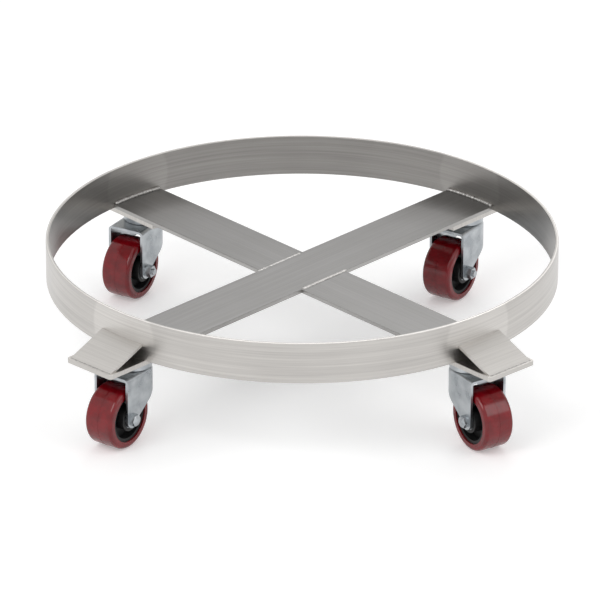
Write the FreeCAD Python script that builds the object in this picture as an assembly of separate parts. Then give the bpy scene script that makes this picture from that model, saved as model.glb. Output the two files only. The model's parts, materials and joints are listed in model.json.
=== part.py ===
import FreeCAD, Part
import math
import os

# Drum trolley: a flat-bar ring on crossed bars, carried by four swivel castors.
# Millimetres. The origin is on the floor, under the ring's axis. The front is towards -Y.

# Ring and crossed bars
drum_well_radius = 300.0
ring_wall = 4.0
ring_height = 50.0
ring_bottom = 111.0
bar_width = 74.0
bar_thickness = 5.0
arm_half_angle = 43.0
edge_round = 0.6

# Mounting plates and sloping covers outside the ring
plate_width = 72.0
plate_thickness = 6.0
plate_corner = 4.0
plate_inside_length = 72.0
plate_outside_length = 54.0
cover_thickness = 3.0
cover_side_margin = 3.5
cover_foot_margin = 4.0
cover_rise = 20.0

# Weld beads
bead_leg = 4.5
bead_side_margin = 3.0
seam_bead_width = 5.0
seam_bead_height = 0.8

# Swivel: upper race cup, balls, king pin
swivel_inset = 13.0
race_radius = 23.5
race_wall = 2.5
race_height = 14.0
ball_count = 14
ball_radius = 3.0
swivel_gap = 0.3
king_pin_radius = 6.0
king_head_radius = 10.0
king_head_height = 3.0
king_nut_flats = 18.0
king_nut_height = 7.0
running_clearance = 0.05

# Fork, pressed from sheet
fork_sheet = 3.0
fork_bend = 5.0
hub_side_gap = 1.0
trail = 30.0
leg_front_margin = 10.5
boss_radius = 10.5
rear_skirt = 9.0

# Wheel, bearings and axle
wheel_radius = 37.5
tread_width = 38.0
tread_round = 4.5
tyre_thickness = 8.5
rim_width = 34.0
rim_thickness = 4.0
web_thickness = 12.0
hub_radius = 15.0
hub_width = 40.0
bearing_radius = 11.0
bearing_width = 9.0
sleeve_radius = 6.5
axle_radius = 4.0
hole_clearance = 0.1
bolt_head_flats = 13.0
bolt_head_height = 5.5
nut_height = 6.5
washer_radius = 7.5
washer_thickness = 1.5
thread_end = 3.0

overrun = 20.0

# Plan angles of the castors' arms, and the directions that the castors trail at rest
castor_angles = {
    "front_left": 270 - arm_half_angle,
    "front_right": 270 + arm_half_angle,
    "back_left": 90 + arm_half_angle,
    "back_right": 90 - arm_half_angle,
}
front_left_trailing_angle = -125
front_right_trailing_angle = -58
back_left_trailing_angle = -120
back_right_trailing_angle = -122
trailing_angles = {
    "front_left": front_left_trailing_angle,
    "front_right": front_right_trailing_angle,
    "back_left": back_left_trailing_angle,
    "back_right": back_right_trailing_angle,
}
castors_with_head_on_left = ["front_left"]
seam_angles = [castor_angles["back_right"] + turn for turn in (90, -90)]

# Worked out from the sizes above
ring_radius = drum_well_radius + ring_wall
plate_inner_reach = drum_well_radius - plate_inside_length
plate_outer_reach = ring_radius + plate_outside_length
swivel_reach = drum_well_radius - swivel_inset
bar_top = ring_bottom + bar_thickness
plate_bottom = ring_bottom - plate_thickness
race_bottom = plate_bottom - race_height
crown_top = race_bottom - swivel_gap
crown_bottom = crown_top - fork_sheet
fork_inner_width = hub_width + 2 * hub_side_gap
leg_inside = fork_inner_width / 2
leg_outside = leg_inside + fork_sheet
axle_height = wheel_radius
rim_radius = wheel_radius - tyre_thickness
up = FreeCAD.Vector(0, 0, 1)
across = FreeCAD.Vector(0, 1, 0)


def tube(outer, inner, bottom, height):
    base = FreeCAD.Vector(0, 0, bottom)
    return Part.makeCylinder(outer, height, base).cut(Part.makeCylinder(inner, height, base))


def bar(start, end, width, bottom, thickness):
    corner = FreeCAD.Vector(start, -width / 2, bottom)
    return Part.makeBox(end - start, width, thickness, corner)


def prism(points, width):
    # A side outline of (x, z) points, given its width across Y
    corners = [FreeCAD.Vector(x, -width / 2, z) for x, z in points]
    outline = Part.makePolygon(corners + corners[:1])
    return Part.Face(outline).extrude(across * width)


def soften(solid, radius, test):
    return solid.makeFillet(radius, [edge for edge in solid.Edges if test(edge)])


def runs_along(edge, direction):
    run = edge.Vertexes[-1].Point - edge.Vertexes[0].Point
    return run.Length > 0 and abs(run.normalize().dot(direction)) > math.cos(math.radians(1))


def turned(shape, angle):
    copy = shape.copy()
    copy.rotate(FreeCAD.Vector(0, 0, 0), up, angle)
    return copy


def on_axle(shape):
    # From a revolved shape about Z to the wheel's axle, which lies along Y
    copy = shape.copy()
    copy.rotate(FreeCAD.Vector(0, 0, 0), FreeCAD.Vector(1, 0, 0), 90)
    copy.translate(FreeCAD.Vector(trail, 0, axle_height))
    return copy


def hexagon(flats, height, bottom):
    radius = flats / 2 / math.cos(math.radians(30))
    turns = [math.radians(60 * step) for step in range(6)]
    points = [FreeCAD.Vector(radius * math.cos(a), radius * math.sin(a), bottom) for a in turns]
    return Part.Face(Part.makePolygon(points + points[:1])).extrude(up * height)


def make_ring():
    ring = tube(ring_radius, drum_well_radius, ring_bottom, ring_height)
    return soften(ring, edge_round, lambda edge: len(edge.Vertexes) == 1)


def make_bars():
    well = Part.makeCylinder(drum_well_radius, bar_thickness, FreeCAD.Vector(0, 0, ring_bottom))
    along = FreeCAD.Vector(1, 0, 0)
    plain = bar(-ring_radius, ring_radius, bar_width, ring_bottom, bar_thickness)
    softened = soften(plain, edge_round, lambda edge: runs_along(edge, along)).common(well)
    half = bar(0, ring_radius, bar_width, ring_bottom, bar_thickness)
    half = soften(half, edge_round, lambda edge: runs_along(edge, along)).common(well)
    crossing = turned(plain, castor_angles["back_right"])
    return {
        "long_bar": turned(softened, castor_angles["back_right"]),
        "short_bar_front_right": turned(half, castor_angles["front_right"]).cut(crossing),
        "short_bar_back_left": turned(half, castor_angles["back_left"]).cut(crossing),
    }


def make_mount_plate():
    plate = bar(plate_inner_reach, plate_outer_reach, plate_width, plate_bottom, plate_thickness)
    plate = soften(plate, plate_corner, lambda edge: runs_along(edge, up)
                   and edge.BoundBox.XMin > swivel_reach)
    plate = soften(plate, edge_round, lambda edge: not runs_along(edge, up))
    axis = FreeCAD.Vector(swivel_reach, 0, plate_bottom)
    head = FreeCAD.Vector(swivel_reach, 0, ring_bottom - king_head_height)
    plate = plate.cut(Part.makeCylinder(king_pin_radius, plate_thickness, axis))
    return plate.cut(Part.makeCylinder(king_head_radius, king_head_height, head))


def make_cover():
    foot = plate_outer_reach - cover_foot_margin
    slope = cover_rise / (foot - ring_radius)
    inner = ring_radius - overrun
    inner_top = ring_bottom + slope * (foot - inner)
    drop = cover_thickness * math.hypot(1, slope)
    outline = [(foot, ring_bottom), (inner, inner_top), (inner, inner_top - drop),
               (foot - drop / slope, ring_bottom)]
    cover = prism(outline, plate_width - 2 * cover_side_margin)
    ring_body = Part.makeCylinder(ring_radius, ring_height, FreeCAD.Vector(0, 0, ring_bottom))
    return cover.cut(ring_body)


def make_end_bead():
    # A three-cornered bead along the ring's inner face, on top of a bar's end
    inner = drum_well_radius - bead_leg
    corners = [(drum_well_radius, bar_top), (inner, bar_top), (drum_well_radius, bar_top + bead_leg)]
    points = [FreeCAD.Vector(r, 0, z) for r, z in corners]
    section = Part.Face(Part.makePolygon(points + points[:1]))
    half_turn = math.degrees(math.asin((bar_width / 2 - bead_side_margin) / drum_well_radius))
    section.rotate(FreeCAD.Vector(0, 0, 0), up, -half_turn)
    return section.revolve(FreeCAD.Vector(0, 0, 0), up, 2 * half_turn)


def make_seam_bead():
    # A low rounded bead over the joint between a short bar and the long bar's side
    radius = (seam_bead_width ** 2 / 4 + seam_bead_height ** 2) / (2 * seam_bead_height)
    centre = FreeCAD.Vector(bar_width / 2, -bar_width / 2, bar_top + seam_bead_height - radius)
    rod = Part.makeCylinder(radius, bar_width, centre, across)
    above = bar(-overrun, bar_width + overrun, bar_width, bar_top, seam_bead_height)
    return rod.common(above)


def make_cover_bead():
    foot = plate_outer_reach - cover_foot_margin
    leg = cover_foot_margin - edge_round
    outline = [(foot, ring_bottom), (foot + leg, ring_bottom), (foot, ring_bottom + leg / 2)]
    cover = make_cover()
    return prism(outline, plate_width - 2 * cover_side_margin).cut(cover)


def make_race():
    cup = tube(race_radius, king_pin_radius, race_bottom, race_height)
    hollow = Part.makeCylinder(race_radius - race_wall, 2 * ball_radius + swivel_gap,
                               FreeCAD.Vector(0, 0, race_bottom))
    return soften(cup.cut(hollow), edge_round, lambda edge: len(edge.Vertexes) == 1
                  and edge.BoundBox.XMax > race_radius - edge_round)


def make_king_pin():
    bottom = crown_bottom - swivel_gap - king_nut_height
    shank = Part.makeCylinder(king_pin_radius, ring_bottom - bottom, FreeCAD.Vector(0, 0, bottom))
    head_base = FreeCAD.Vector(0, 0, ring_bottom - king_head_height)
    return shank.fuse(Part.makeCylinder(king_head_radius, king_head_height, head_base)).removeSplitter()


def make_king_nut():
    bottom = crown_bottom - swivel_gap - king_nut_height
    nut = hexagon(king_nut_flats, king_nut_height, bottom)
    return nut.cut(Part.makeCylinder(king_pin_radius, king_nut_height, FreeCAD.Vector(0, 0, bottom)))


def make_balls():
    pitch = (king_pin_radius + race_radius - race_wall) / 2
    height = crown_top + swivel_gap + ball_radius
    centres = [math.radians(360 / ball_count * step) for step in range(ball_count)]
    return Part.Compound([Part.makeSphere(ball_radius, FreeCAD.Vector(pitch * math.cos(a),
                          pitch * math.sin(a), height)) for a in centres])


def bullet(half_width, front, bottom, top):
    # Plan outline with straight sides and a round rear about the swivel
    rear = Part.Arc(FreeCAD.Vector(0, half_width, bottom), FreeCAD.Vector(-half_width, 0, bottom),
                    FreeCAD.Vector(0, -half_width, bottom)).toShape()
    corners = [FreeCAD.Vector(0, -half_width, bottom), FreeCAD.Vector(front, -half_width, bottom),
               FreeCAD.Vector(front, half_width, bottom), FreeCAD.Vector(0, half_width, bottom)]
    outline = Part.Wire([rear] + Part.makePolygon(corners).Edges)
    return Part.Face(outline).extrude(up * (top - bottom))


def make_fork():
    front = trail + leg_front_margin
    low = axle_height - boss_radius
    outside = bullet(leg_outside, front, low, crown_top)
    outside = soften(outside, fork_bend, lambda edge: edge.BoundBox.ZMin > crown_bottom
                     and edge.BoundBox.XMin < front - fork_sheet)
    inside = bullet(leg_inside, front + overrun, low - overrun, crown_bottom)
    inside = soften(inside, fork_bend - fork_sheet, lambda edge: edge.BoundBox.ZMin > crown_bottom
                    - fork_sheet and edge.BoundBox.XMin < front)
    rear_low = crown_top - rear_skirt
    side = prism([(front, crown_top + overrun), (front, axle_height), (trail - boss_radius, axle_height),
                  (-leg_outside - overrun, rear_low), (-leg_outside - overrun, crown_top + overrun)],
                 2 * leg_outside + overrun)
    boss = Part.makeCylinder(boss_radius, 2 * leg_outside + overrun,
                             FreeCAD.Vector(trail, -leg_outside - overrun / 2, axle_height), across)
    fork = outside.cut(inside).common(side.fuse(boss))
    axle = Part.makeCylinder(axle_radius + hole_clearance, 2 * leg_outside + overrun,
                             FreeCAD.Vector(trail, -leg_outside - overrun / 2, axle_height), across)
    pin = Part.makeCylinder(king_pin_radius + running_clearance, overrun,
                            FreeCAD.Vector(0, 0, crown_top - overrun / 2))
    return fork.cut(axle).cut(pin)


def make_axle_bolt(head_on_left):
    seat = leg_outside + washer_thickness
    end = seat + nut_height + thread_end
    head = hexagon(bolt_head_flats, bolt_head_height, seat)
    crown = Part.makeSphere(bolt_head_flats, FreeCAD.Vector(0, 0, seat + bolt_head_height - bolt_head_flats))
    shank = Part.makeCylinder(axle_radius, seat + end, FreeCAD.Vector(0, 0, -end))
    bolt = head.common(crown).fuse(shank).removeSplitter()
    return on_axle(flipped(bolt, head_on_left))


def flipped(shape, head_on_left):
    # The turn onto the axle sends +Z to -Y, so a head on the left, at +Y, starts at -Z
    copy = shape.copy()
    if head_on_left:
        copy.rotate(FreeCAD.Vector(0, 0, 0), FreeCAD.Vector(1, 0, 0), 180)
    return copy


def make_axle_nut(head_on_left):
    seat = leg_outside + washer_thickness
    nut = hexagon(bolt_head_flats, nut_height, -seat - nut_height)
    bore = Part.makeCylinder(axle_radius, nut_height, FreeCAD.Vector(0, 0, -seat - nut_height))
    near = tube(washer_radius, axle_radius, -seat, washer_thickness)
    far = tube(washer_radius, axle_radius, leg_outside, washer_thickness)
    pieces = [nut.cut(bore), near, far]
    return Part.Compound([on_axle(flipped(piece, head_on_left)) for piece in pieces])


def make_sleeve():
    return on_axle(tube(sleeve_radius, axle_radius + hole_clearance, -leg_inside, fork_inner_width))


def make_bearings():
    bore = sleeve_radius + running_clearance
    starts = [-hub_width / 2, hub_width / 2 - bearing_width]
    return Part.Compound([on_axle(tube(bearing_radius, bore, start, bearing_width)) for start in starts])


def make_wheel_core():
    # Rim, web and hub turned as one moulding, dished on both faces
    rim = tube(rim_radius, rim_radius - rim_thickness, -rim_width / 2, rim_width)
    web = Part.makeCylinder(rim_radius - rim_thickness / 2, web_thickness,
                            FreeCAD.Vector(0, 0, -web_thickness / 2))
    hub = Part.makeCylinder(hub_radius, hub_width, FreeCAD.Vector(0, 0, -hub_width / 2))
    core = rim.fuse(web).fuse(hub).removeSplitter()
    between = hub_width - 2 * bearing_width
    seats = [Part.makeCylinder(bearing_radius, bearing_width, FreeCAD.Vector(0, 0, start))
             for start in (-hub_width / 2, hub_width / 2 - bearing_width)]
    core = core.cut(seats[0]).cut(seats[1])
    bore_radius = (sleeve_radius + bearing_radius) / 2
    core = core.cut(Part.makeCylinder(bore_radius, between, FreeCAD.Vector(0, 0, -between / 2)))
    return on_axle(core)


def make_tyre():
    tyre = tube(wheel_radius, rim_radius, -tread_width / 2, tread_width)
    tyre = soften(tyre, tread_round, lambda edge: len(edge.Vertexes) == 1
                  and edge.BoundBox.XMax > rim_radius + tread_round / 2)
    return on_axle(tyre)


def on_arm(shape, name):
    return turned(shape, castor_angles[name])


def at_swivel(shape, name):
    copy = turned(shape, trailing_angles[name])
    copy.translate(turned_point(swivel_reach, castor_angles[name]))
    return copy


def turned_point(reach, angle):
    return FreeCAD.Vector(reach * math.cos(math.radians(angle)), reach * math.sin(math.radians(angle)), 0)


def make_nodes():
    nodes = {"ring": make_ring()}
    nodes.update(make_bars())
    for name in castor_angles:
        head_on_left = name in castors_with_head_on_left
        nodes[name + "_mount_plate"] = on_arm(make_mount_plate(), name)
        nodes[name + "_cover_plate"] = on_arm(make_cover(), name)
        nodes[name + "_upper_race"] = at_swivel(make_race(), name)
        nodes[name + "_fork"] = at_swivel(make_fork(), name)
        nodes[name + "_swivel_balls"] = at_swivel(make_balls(), name)
        nodes[name + "_axle_bolt"] = at_swivel(make_axle_bolt(head_on_left), name)
        nodes[name + "_axle_nut"] = at_swivel(make_axle_nut(head_on_left), name)
        nodes[name + "_axle_sleeve"] = at_swivel(make_sleeve(), name)
        nodes[name + "_wheel_bearings"] = at_swivel(make_bearings(), name)
        nodes[name + "_wheel_core"] = at_swivel(make_wheel_core(), name)
        nodes[name + "_tyre"] = at_swivel(make_tyre(), name)
    nodes["king_pins"] = Part.Compound([at_swivel(make_king_pin(), name) for name in castor_angles])
    nodes["king_nuts"] = Part.Compound([at_swivel(make_king_nut(), name) for name in castor_angles])
    nodes["bar_end_welds"] = Part.Compound([on_arm(make_end_bead(), name) for name in castor_angles])
    nodes["cover_welds"] = Part.Compound([on_arm(make_cover_bead(), name) for name in castor_angles])
    nodes["centre_welds"] = Part.Compound([turned(make_seam_bead(), angle) for angle in seam_angles])
    return nodes


os.makedirs("parts", exist_ok=True)
for node, shape in make_nodes().items():
    shape.exportStep("parts/" + node + ".step")
    print(node, len(shape.Solids), shape.isValid(), round(shape.Volume))
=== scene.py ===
import bpy
import bmesh
import json
import math
from mathutils import Matrix, Vector


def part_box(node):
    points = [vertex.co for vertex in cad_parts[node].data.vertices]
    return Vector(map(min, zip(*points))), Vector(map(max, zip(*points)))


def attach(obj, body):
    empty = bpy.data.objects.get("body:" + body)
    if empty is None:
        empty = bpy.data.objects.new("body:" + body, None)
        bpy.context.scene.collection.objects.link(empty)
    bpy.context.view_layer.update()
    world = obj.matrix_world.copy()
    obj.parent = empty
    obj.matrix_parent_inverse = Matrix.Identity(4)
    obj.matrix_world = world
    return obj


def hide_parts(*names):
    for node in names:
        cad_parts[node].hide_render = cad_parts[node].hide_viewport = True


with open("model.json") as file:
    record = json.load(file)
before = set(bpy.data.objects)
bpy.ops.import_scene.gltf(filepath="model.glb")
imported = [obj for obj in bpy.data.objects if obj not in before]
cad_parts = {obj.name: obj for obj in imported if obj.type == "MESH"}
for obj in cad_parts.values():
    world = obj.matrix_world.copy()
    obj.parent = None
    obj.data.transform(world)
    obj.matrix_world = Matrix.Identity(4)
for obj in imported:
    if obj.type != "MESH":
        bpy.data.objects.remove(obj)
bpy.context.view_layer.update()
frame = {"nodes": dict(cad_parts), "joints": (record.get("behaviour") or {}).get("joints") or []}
mm = 0.001
white = (1, 1, 1, 1)
castorNames = ["front_left", "front_right", "back_left", "back_right"]
print("frame loaded:", len(frame["nodes"]), "nodes")

srgb = {"knee": 0.04045, "slope": 12.92, "offset": 0.055, "power": 2.4}


def linearColour(hexText):
    # sRGB hex to the linear values that shaders use
    parts = [int(hexText[i:i + 2], 16) / 255 for i in (0, 2, 4)]
    offset = srgb["offset"]
    return [c / srgb["slope"] if c <= srgb["knee"] else ((c + offset) / (1 + offset)) ** srgb["power"]
            for c in parts] + [1.0]


def addNode(tree, kind, settings=None, links=None):
    # settings: attributes, or input values by socket name or number; links: socket to output
    node = tree.nodes.new(kind)
    for key, value in (settings or {}).items():
        if isinstance(key, int) or key in node.inputs:
            node.inputs[key].default_value = value
        else:
            setattr(node, key, value)
    for key, output in (links or {}).items():
        tree.links.new(output, node.inputs[key])
    return node


def newMaterial(name):
    material = bpy.data.materials.new(name)
    material.use_nodes = True
    return material, material.node_tree, material.node_tree.nodes["Principled BSDF"]


def twoTones(tree, grain, tones, places):
    ramp = addNode(tree, "ShaderNodeValToRGB", {}, {"Fac": grain})
    for stop, tone, place in zip(ramp.color_ramp.elements, tones, places):
        stop.position = place
        stop.color = linearColour(tone)
    return ramp.outputs["Color"]


def finishShader(tree, shader, look, bumpStrength, colour, grain):
    # Roughness and a fine bump follow the same grain as the colour
    rough = addNode(tree, "ShaderNodeMapRange", {"To Min": look["smooth"], "To Max": look["rough"]},
                    {"Value": grain})
    bump = addNode(tree, "ShaderNodeBump", {"Strength": bumpStrength, "Distance": look["bumpMm"] * mm},
                   {"Height": grain})
    shader.inputs["Metallic"].default_value = look["metallic"]
    tree.links.new(colour, shader.inputs["Base Color"])
    tree.links.new(rough.outputs["Result"], shader.inputs["Roughness"])
    tree.links.new(bump.outputs["Normal"], shader.inputs["Normal"])


# Lengths are in mm where the name says so, otherwise in metres
brushed = {"ringTones": ("A5A29F", "D3D0CC"), "barPaintedShadeTones": ("656462", "7F7E7D"),
           "coverTones": ("B2AFAB", "D2CFCB"), "tonePlaces": (0.2, 0.8),
           "lineMm": 2.4, "runMm": 220.0, "lineDetail": 6.0, "lineRoughness": 0.65,
           "patchesPerMetre": 9.0, "patchDetail": 2.0, "patchShare": 0.22,
           "bumpMm": 0.04, "bumpStrength": 0.35, "smooth": 0.26, "rough": 0.4, "metallic": 1.0,
           "insideShade": 0.64, "wallMiddle": 0.302, "polishedRadius": 0.047, "polishedEdge": 0.004,
           "polishedLift": 1.12, "barPaintedSideLift": 2.3}


def armAngle(name):
    low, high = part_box(name + "_mount_plate")
    return math.degrees(math.atan2(low.y + high.y, low.x + high.x))


def onArm(name, reach, side, height):
    angle = math.radians(armAngle(name))
    return (reach * math.cos(angle) - side * math.sin(angle),
            reach * math.sin(angle) + side * math.cos(angle), height)


def scaledVector(tree, vector, factor):
    return addNode(tree, "ShaderNodeVectorMath", {"operation": "SCALE"},
                   {0: vector, "Scale": factor}).outputs["Vector"]


def polishedPlace(tree, coords, name):
    # Where a cover's upper weld was ground back, the ring is polished brighter
    low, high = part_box("ring")
    middle = onArm(name, high.x, 0, (low.z + high.z) / 2)
    away = addNode(tree, "ShaderNodeVectorMath", {"operation": "DISTANCE", 1: middle},
                   {0: coords.outputs["Object"]})
    near = brushed["polishedRadius"]
    lift = addNode(tree, "ShaderNodeMapRange",
                   {"From Min": near, "From Max": near + brushed["polishedEdge"],
                    "To Min": brushed["polishedLift"], "To Max": 1.0}, {"Value": away.outputs["Value"]})
    return lift.outputs["Result"]


def shadedRing(tree, coords, colour):
    # Painted shade: the drum side of the ring is darkened against the outside
    flat = addNode(tree, "ShaderNodeVectorMath", {"operation": "MULTIPLY", 1: (1, 1, 0)},
                   {0: coords.outputs["Object"]})
    reach = addNode(tree, "ShaderNodeVectorMath", {"operation": "LENGTH"}, {0: flat.outputs["Vector"]})
    outside = addNode(tree, "ShaderNodeMath", {"operation": "GREATER_THAN", 1: brushed["wallMiddle"]},
                      {0: reach.outputs["Value"]})
    shade = addNode(tree, "ShaderNodeMapRange", {"To Min": brushed["insideShade"], "To Max": 1.0},
                    {"Value": outside.outputs[0]})
    for factor in [shade.outputs["Result"]] + [polishedPlace(tree, coords, n) for n in castorNames]:
        colour = scaledVector(tree, colour, factor)
    return colour


def paintedSideHighlight(tree, coords, colour, paintedSideLift):
    # Painted highlight: upright faces, such as the bars' sides, are made brighter than the flat faces
    parts = addNode(tree, "ShaderNodeSeparateXYZ", {}, {0: coords.outputs["Normal"]})
    level = addNode(tree, "ShaderNodeMath", {"operation": "ABSOLUTE"}, {0: parts.outputs["Z"]})
    lift = addNode(tree, "ShaderNodeMapRange", {"To Min": paintedSideLift, "To Max": 1.0},
                   {"Value": level.outputs[0]})
    return scaledVector(tree, colour, lift.outputs["Result"])


def brushedStainless(name, tones, turnDegrees, roundRing, paintedSideLift=1.0):
    # Cold-rolled stainless bar, belt brushed: fine lines one way, soft stretched reflections
    material, tree, shader = newMaterial(name)
    across, along = 1 / mm / brushed["lineMm"], 1 / mm / brushed["runMm"]
    scale = (along, along, across) if roundRing else (along, across, along)
    coords = addNode(tree, "ShaderNodeTexCoord")
    turn = addNode(tree, "ShaderNodeMapping",
                   {"vector_type": "TEXTURE", "Rotation": (0, 0, math.radians(turnDegrees))},
                   {"Vector": coords.outputs["Object"]})
    stretch = addNode(tree, "ShaderNodeMapping", {"Scale": scale}, {"Vector": turn.outputs["Vector"]})
    lines = addNode(tree, "ShaderNodeTexNoise",
                    {"Scale": 1.0, "Detail": brushed["lineDetail"], "Roughness": brushed["lineRoughness"]},
                    {"Vector": stretch.outputs["Vector"]}).outputs["Fac"]
    patches = addNode(tree, "ShaderNodeTexNoise",
                      {"Scale": brushed["patchesPerMetre"], "Detail": brushed["patchDetail"]},
                      {"Vector": coords.outputs["Object"]}).outputs["Fac"]
    both = addNode(tree, "ShaderNodeMix", {"data_type": "FLOAT", 0: brushed["patchShare"]},
                   {2: lines, 3: patches})
    colour = twoTones(tree, both.outputs[0], tones, brushed["tonePlaces"])
    if roundRing:
        # Painted shade on the ring's drum side
        colour = shadedRing(tree, coords, colour)
    else:
        # Painted highlight on upright faces
        colour = paintedSideHighlight(tree, coords, colour, paintedSideLift)
    finishShader(tree, shader, brushed, brushed["bumpStrength"], colour, lines)
    return material


mottle = {"detail": 4.0, "tonePlaces": (0.35, 0.65), "bumpStrength": 0.3}


def mottled(name, look):
    # Two tones, roughness and a fine bump from one noise of real grain size
    material, tree, shader = newMaterial(name)
    coords = addNode(tree, "ShaderNodeTexCoord")
    grain = addNode(tree, "ShaderNodeTexNoise",
                    {"Scale": 1 / mm / look["grainMm"], "Detail": mottle["detail"]},
                    {"Vector": coords.outputs["Object"]}).outputs["Fac"]
    colour = twoTones(tree, grain, look["tones"], mottle["tonePlaces"])
    finishShader(tree, shader, look, mottle["bumpStrength"], colour, grain)
    return material


# Bright zinc plate: bluish grey, faintly cloudy, half glossy
zincPlate = mottled("zincPlate", {"tones": ("9DA2A6", "B9BDC0"), "grainMm": 16.0,
                    "smooth": 0.22, "rough": 0.36, "bumpMm": 0.05, "metallic": 1.0})
# Weld metal, left bright: small frozen waves
weldMetal = mottled("weldMetal", {"tones": ("8C8A88", "B4B2AF"), "grainMm": 3.0,
                    "smooth": 0.3, "rough": 0.45, "bumpMm": 0.15, "metallic": 1.0})
# Moulded nylon core: near black, fine satin grain
nylonCore = mottled("nylonCore", {"tones": ("060606", "0D0D0E"), "grainMm": 1.2,
                    "smooth": 0.5, "rough": 0.65, "bumpMm": 0.05, "metallic": 0.0})
# Cast polyurethane: deep even red with a wet gloss
castPolyurethane = mottled("castPolyurethane", {"tones": ("6E0710", "820A15"), "grainMm": 12.0,
                           "smooth": 0.12, "rough": 0.18, "bumpMm": 0.02, "metallic": 0.0})


def dressNodes():
    finishes = {"ring": brushedStainless("brushedStainlessRing", brushed["ringTones"], 0, True)}
    # The long bar lies along the back right arm, each short bar along its own
    barArms = {"long_bar": "back_right", "short_bar_front_right": "front_right",
               "short_bar_back_left": "back_left"}
    # The bars' darker tones are painted shade on the same stainless as the ring and covers
    for node, arm in barArms.items():
        finishes[node] = brushedStainless("brushedBar_" + arm, brushed["barPaintedShadeTones"], armAngle(arm), False,
                                          brushed["barPaintedSideLift"])
    for n in castorNames:
        coverSteel = brushedStainless("brushedCover_" + n, brushed["coverTones"], armAngle(n) + 90, False)
        finishes[n + "_mount_plate"] = finishes[n + "_cover_plate"] = coverSteel
    byWord = {"tyre": castPolyurethane, "wheel_core": nylonCore, "welds": weldMetal}
    for node, obj in frame["nodes"].items():
        word = next((finish for end, finish in byWord.items() if node.endswith(end)), zincPlate)
        obj.data.materials.clear()
        obj.data.materials.append(finishes.get(node, word))


dressNodes()
print("finishes set")

# A bead is a row of drops: along the bar ends, the centre seams and the feet of the covers
bead = {"spacingMm": 1.2, "pathSteps": 20, "dropSubdivisions": 3, "wobble": (0.85, 1.15), "seed": 4,
        "barWidthMm": 74.0, "sideMarginMm": 3.0,
        "endRadiusMm": 2.4, "endFlat": 1.0, "endInsetMm": 1.6, "endRiseMm": 0.8,
        "seamRadiusMm": 2.6, "seamFlat": 0.35, "seamShare": 0.96, "groundDepthMm": 0.75,
        "footRadiusMm": 1.6, "footFlat": 0.8, "footHalfMm": 31.0, "footMarginMm": 1.5,
        "footGapMm": 1.0, "footDepthMm": 0.7}


def beadTree():
    # Frozen weld ripples: small flattened drops set along each path
    tree = bpy.data.node_groups.new("weldRipples", "GeometryNodeTree")
    face = tree.interface
    face.new_socket("Geometry", in_out="INPUT", socket_type="NodeSocketGeometry")
    for label in ("Spacing", "Radius", "Flatness"):
        face.new_socket(label, in_out="INPUT", socket_type="NodeSocketFloat")
    face.new_socket("Geometry", in_out="OUTPUT", socket_type="NodeSocketGeometry")
    start = addNode(tree, "NodeGroupInput")
    path = addNode(tree, "GeometryNodeMeshToCurve", {}, {"Mesh": start.outputs["Geometry"]})
    even = addNode(tree, "GeometryNodeResampleCurve", {"mode": "LENGTH"},
                   {"Curve": path.outputs["Curve"], "Length": start.outputs["Spacing"]})
    drop = addNode(tree, "GeometryNodeMeshIcoSphere", {"Subdivisions": bead["dropSubdivisions"]},
                   {"Radius": start.outputs["Radius"]})
    least, most = bead["wobble"]
    wobble = addNode(tree, "FunctionNodeRandomValue",
                     {"data_type": "FLOAT", 2: least, 3: most, "Seed": bead["seed"]})
    flat = addNode(tree, "ShaderNodeCombineXYZ", {"X": 1.0, "Y": 1.0}, {"Z": start.outputs["Flatness"]})
    size = scaledVector(tree, flat.outputs["Vector"], wobble.outputs[1])
    drops = addNode(tree, "GeometryNodeInstanceOnPoints", {},
                    {"Points": even.outputs["Curve"], "Instance": drop.outputs["Mesh"], "Scale": size})
    solid = addNode(tree, "GeometryNodeRealizeInstances", {}, {"Geometry": drops.outputs["Instances"]})
    smooth = addNode(tree, "GeometryNodeSetShadeSmooth", {}, {"Geometry": solid.outputs["Geometry"]})
    coat = addNode(tree, "GeometryNodeSetMaterial", {"Material": weldMetal},
                   {"Geometry": smooth.outputs["Geometry"]})
    addNode(tree, "NodeGroupOutput", {}, {"Geometry": coat.outputs["Geometry"]})
    return tree


def rippledWeld(name, paths, radiusMm, flatness, node):
    points = [point for path in paths for point in path]
    edges, first = [], 0
    for path in paths:
        edges += [(first + i, first + i + 1) for i in range(len(path) - 1)]
        first += len(path)
    mesh = bpy.data.meshes.new(name + "Path")
    mesh.from_pydata(points, edges, [])
    source = bpy.data.objects.new(name + "Path", mesh)
    bpy.context.scene.collection.objects.link(source)
    modifier = source.modifiers.new("ripples", "NODES")
    modifier.node_group = ripples
    sizes = {"Spacing": bead["spacingMm"] * mm, "Radius": radiusMm * mm, "Flatness": flatness}
    for item in ripples.interface.items_tree:
        if item.in_out == "INPUT" and item.name in sizes:
            modifier[item.identifier] = sizes[item.name]
    ready = source.evaluated_get(bpy.context.evaluated_depsgraph_get())
    piece = bpy.data.objects.new(name, bpy.data.meshes.new_from_object(ready))
    bpy.context.scene.collection.objects.link(piece)
    source.modifiers.remove(modifier)
    bpy.data.objects.remove(source)
    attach(piece, "trolley_frame")
    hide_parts(node)


def evenSteps(half):
    # From one side of the middle line to the other
    return [half * (2 * i / bead["pathSteps"] - 1) for i in range(bead["pathSteps"] + 1)]


def radii(node):
    return [math.hypot(v.co.x, v.co.y) for v in frame["nodes"][node].data.vertices]


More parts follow.
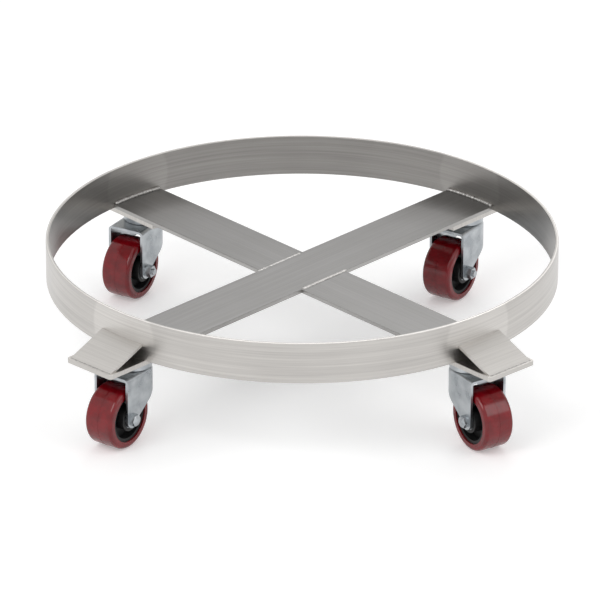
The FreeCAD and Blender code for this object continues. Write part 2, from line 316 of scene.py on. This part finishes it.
def makeWelds():
    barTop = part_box("long_bar")[1].z
    reach = min(radii("ring")) - bead["endInsetMm"] * mm
    steps = evenSteps((bead["barWidthMm"] / 2 - bead["sideMarginMm"]) * mm)
    endHeight = barTop + bead["endRiseMm"] * mm
    ends = [[onArm(n, math.sqrt(reach ** 2 - s ** 2), s, endHeight) for s in steps] for n in castorNames]
    rippledWeld("barEndWelds", ends, bead["endRadiusMm"], bead["endFlat"], "bar_end_welds")
    side = bead["barWidthMm"] / 2 * mm
    along = evenSteps(side * bead["seamShare"])
    # The back left seam is ground nearly flush, so its drops lie deeper
    depths = {1: bead["groundDepthMm"] * mm, -1: 0.0}
    seams = [[onArm("back_right", s, sign * side, barTop - depths[sign]) for s in along] for sign in depths]
    rippledWeld("centreWelds", seams, bead["seamRadiusMm"], bead["seamFlat"], "centre_welds")
    foot, footHalf = max(radii("front_left_cover_plate")), bead["footHalfMm"] * mm
    footReach = math.sqrt(foot ** 2 - (footHalf + bead["footMarginMm"] * mm) ** 2) + bead["footGapMm"] * mm
    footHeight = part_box("front_left_mount_plate")[1].z - bead["footDepthMm"] * mm
    feet = [[onArm(n, footReach, s, footHeight) for s in evenSteps(footHalf)] for n in castorNames]
    rippledWeld("coverWelds", feet, bead["footRadiusMm"], bead["footFlat"], "cover_welds")


ripples = beadTree()
makeWelds()
print("welds made")

parting = {"heightMm": 0.22, "halfWidthMm": 0.35, "steps": 144}


def makePartingLine(name):
    # The fine ridge that the mould's halves leave round the middle of the tread
    joint = next(j for j in frame["joints"] if j["name"] == name + "_roll")
    centre, axis = Vector(joint["pos_m"]), Vector(joint["axis"]).normalized()
    low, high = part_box(name + "_tyre")
    radius, upward = (high.z - low.z) / 2, Vector((0, 0, 1))
    forward = axis.cross(upward)
    wide, tall = parting["halfWidthMm"] * mm, parting["heightMm"] * mm
    section = [(-wide, -tall), (-wide / 2, tall), (wide / 2, tall), (wide, -tall)]
    points, faces, count = [], [], len(section)
    for step in range(parting["steps"]):
        turn = 2 * math.pi * step / parting["steps"]
        out = forward * math.cos(turn) + upward * math.sin(turn)
        points += [centre + out * (radius + rise) + axis * side for side, rise in section]
    total = len(points)
    for step in range(parting["steps"]):
        a, b = step * count, (step + 1) * count % total
        faces += [(a + i, a + (i + 1) % count, b + (i + 1) % count, b + i) for i in range(count)]
    mesh = bpy.data.meshes.new(name + "_partingLine")
    mesh.from_pydata(points, [], faces)
    shape = bmesh.new()
    shape.from_mesh(mesh)
    bmesh.ops.recalc_face_normals(shape, faces=shape.faces)
    shape.to_mesh(mesh)
    shape.free()
    mesh.materials.append(castPolyurethane)
    piece = bpy.data.objects.new(name + "_partingLine", mesh)
    bpy.context.scene.collection.objects.link(piece)
    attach(piece, name + "_wheel")


for castorName in castorNames:
    makePartingLine(castorName)
print("parting lines made")

# Metres and degrees: the camera looks at the ring's middle, then turns by pitch, yaw and roll
view = {"distance": 7.640, "elevation": 24.16, "azimuth": 0.4, "pitch": 0.4, "yaw": 0.02, "roll": 0.13,
        "focalPixels": 6436.2, "imagePixels": 600, "sensorMm": 36.0}


def outward(azimuth, elevation):
    a, e = azimuth, elevation
    return Vector((math.sin(a) * math.cos(e), -math.cos(a) * math.cos(e), math.sin(e)))


def makeCamera():
    ringLow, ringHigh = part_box("ring")
    aim = Vector((0, 0, (ringLow.z + ringHigh.z) / 2))
    e, a = math.radians(view["elevation"]), math.radians(view["azimuth"])
    place = aim + view["distance"] * outward(a, e)
    forward = -outward(a + math.radians(view["yaw"]), e + math.radians(view["pitch"]))
    level = forward.cross(Vector((0, 0, 1))).normalized()
    upright = level.cross(forward)
    r = math.radians(view["roll"])
    right = math.cos(r) * level + math.sin(r) * upright
    upward = -math.sin(r) * level + math.cos(r) * upright
    data = bpy.data.cameras.new("photoCamera")
    data.sensor_width = view["sensorMm"]
    data.lens = view["sensorMm"] * view["focalPixels"] / view["imagePixels"]
    camera = bpy.data.objects.new("photoCamera", data)
    turned = Matrix((right, upward, -forward)).transposed().to_4x4()
    camera.matrix_world = Matrix.Translation(place) @ turned
    bpy.context.scene.collection.objects.link(camera)
    bpy.context.scene.camera = camera


studio = {"worldLight": 0.6, "floorTone": "F2F2F2", "floorLift": 0.3, "floorRough": 0.9, "floorSize": 14.0}
# Each lamp's place in metres, power in watts and size in metres
lamps = {"keyLamp": ((-1.6, -1.8, 2.4), 26.0, 1.6), "fillLamp": ((2.2, -1.2, 1.8), 12.0, 1.6),
         "backLamp": ((0.3, 2.4, 2.2), 14.0, 1.4)}


def seenRays(tree):
    # One for camera, glossy and transmission rays
    path = addNode(tree, "ShaderNodeLightPath")
    pair = addNode(tree, "ShaderNodeMath", {"operation": "MAXIMUM"},
                   {0: path.outputs["Is Camera Ray"], 1: path.outputs["Is Glossy Ray"]})
    return addNode(tree, "ShaderNodeMath", {"operation": "MAXIMUM"},
                   {0: pair.outputs[0], 1: path.outputs["Is Transmission Ray"]}).outputs[0]


def makeWorld(scene):
    scene.view_settings.view_transform = "Standard"
    scene.world = scene.world or bpy.data.worlds.new("studio")
    scene.world.use_nodes = True
    tree = scene.world.node_tree
    sky = tree.nodes["Background"]
    sky.inputs["Color"].default_value = white
    strength = addNode(tree, "ShaderNodeMapRange", {"To Min": studio["worldLight"], "To Max": 1.0},
                       {"Value": seenRays(tree)})
    tree.links.new(strength.outputs["Result"], sky.inputs["Strength"])


def makeFloor(scene):
    half = studio["floorSize"] / 2
    corners = [(-half, -half, 0), (half, -half, 0), (half, half, 0), (-half, half, 0)]
    mesh = bpy.data.meshes.new("studioFloor")
    mesh.from_pydata(corners, [], [(0, 1, 2, 3)])
    floor = bpy.data.objects.new("studioFloor", mesh)
    scene.collection.objects.link(floor)
    material, tree, shader = newMaterial("paleFloor")
    shader.inputs["Base Color"].default_value = linearColour(studio["floorTone"])
    shader.inputs["Roughness"].default_value = studio["floorRough"]
    lift = addNode(tree, "ShaderNodeMath", {"operation": "MULTIPLY", 1: studio["floorLift"]},
                   {0: seenRays(tree)})
    shader.inputs["Emission Color"].default_value = white
    tree.links.new(lift.outputs[0], shader.inputs["Emission Strength"])
    mesh.materials.append(material)


def makeLamps(scene):
    for name, (place, power, size) in lamps.items():
        data = bpy.data.lights.new(name, "AREA")
        data.energy, data.size = power, size
        lamp = bpy.data.objects.new(name, data)
        lamp.location = place
        lamp.rotation_euler = (-Vector(place)).to_track_quat("-Z", "Y").to_euler()
        scene.collection.objects.link(lamp)


makeCamera()
makeWorld(bpy.context.scene)
makeFloor(bpy.context.scene)
makeLamps(bpy.context.scene)
print("camera, floor and lamps set")
